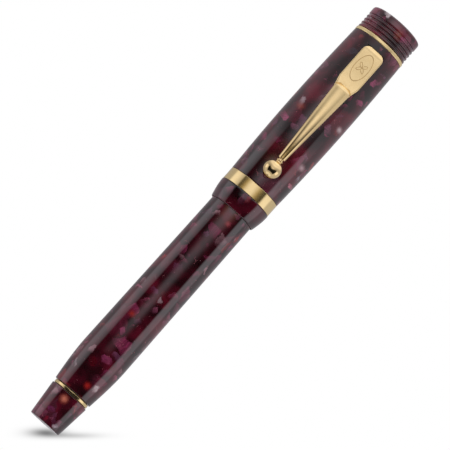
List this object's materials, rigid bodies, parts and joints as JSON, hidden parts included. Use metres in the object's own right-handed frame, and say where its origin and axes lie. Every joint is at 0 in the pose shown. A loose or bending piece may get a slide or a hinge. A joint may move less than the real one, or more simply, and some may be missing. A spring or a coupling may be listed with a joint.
{
  "type": "fountain pen",
  "caption": "Capped fountain pen with a piston filler turned by a conical tail knob, screw-on cap with a sprung ball-ended clip, gold-plated rings and a ridged crown.",
  "frame": {"origin": "centre of the flat tail face of the filling knob", "axes": "+Z along the pen from the tail to the crown of the cap, -Y towards the clip, +X to the right with the clip in front"},
  "size_m": [0.0166, 0.0215, 0.14],
  "materials": {
    "marbled_resin": "polished marbled burgundy resin with pearly flakes",
    "gold_plate": "polished pale gold plating over brass",
    "brass": "machined brass",
    "black_plastic": "satin black plastic",
    "seal_rubber": "matt black rubber",
    "white_ptfe": "smooth white low-friction plastic",
    "tipping_alloy": "polished hard alloy",
    "liner_plastic": "smooth dark liner plastic"
  },
  "bodies": {
    "barrel_assembly": {"barrel": "marbled_resin", "tail_ring": "gold_plate", "guide_sleeve": "brass", "spindle_retainer": "brass", "spindle_oring": "seal_rubber", "section": "marbled_resin", "section_ring": "gold_plate", "section_oring": "seal_rubber", "front_ring": "gold_plate", "nib_housing": "black_plastic", "feed": "black_plastic", "nib": "gold_plate", "nib_tip_left": "tipping_alloy", "nib_tip_right": "tipping_alloy"},
    "knob_assembly": {"piston_knob": "marbled_resin", "piston_spindle": "brass"},
    "piston_assembly": {"piston_rod": "black_plastic", "piston_head": "white_ptfe", "piston_seal_rear": "seal_rubber", "piston_seal_front": "seal_rubber"},
    "liner": {"inner_cap": "liner_plastic"},
    "cap_assembly": {"cap_shell": "marbled_resin", "cap_lip": "marbled_resin", "cap_band": "gold_plate", "cap_crown": "marbled_resin", "crown_ring": "gold_plate", "crown_stud": "brass", "clip_washer": "brass"},
    "clip_assembly": {"clip": "gold_plate", "clip_ball": "gold_plate"}
  },
  "joints": [
    {"name": "cap_pull", "type": "slide", "parent": "barrel_assembly", "child": "liner", "axis": [0, 0, 1], "range_m": [0, 0.06]},
    {"name": "cap_turn", "type": "hinge", "parent": "liner", "child": "cap_assembly", "pos_m": [0, 0, 0.0737], "axis": [0, 0, 1], "range_deg": [0, 540]},
    {"name": "clip_flex", "type": "hinge", "parent": "cap_assembly", "child": "clip_assembly", "pos_m": [0, -0.00875, 0.1291], "axis": [-1, 0, 0], "range_deg": [0, 5], "stiffness_Nm_per_rad": 0.2},
    {"name": "knob_turn", "type": "hinge", "parent": "barrel_assembly", "child": "knob_assembly", "pos_m": [0, 0, 0], "axis": [0, 0, -1], "range_deg": [0, 1080]},
    {"name": "piston_slide", "type": "slide", "parent": "barrel_assembly", "child": "piston_assembly", "axis": [0, 0, 1], "range_m": [0, 0.024]}
  ],
  "couplings": [
    {"joint": "knob_turn", "follows": "piston_slide", "rad_per_m": 785.4}
  ]
}
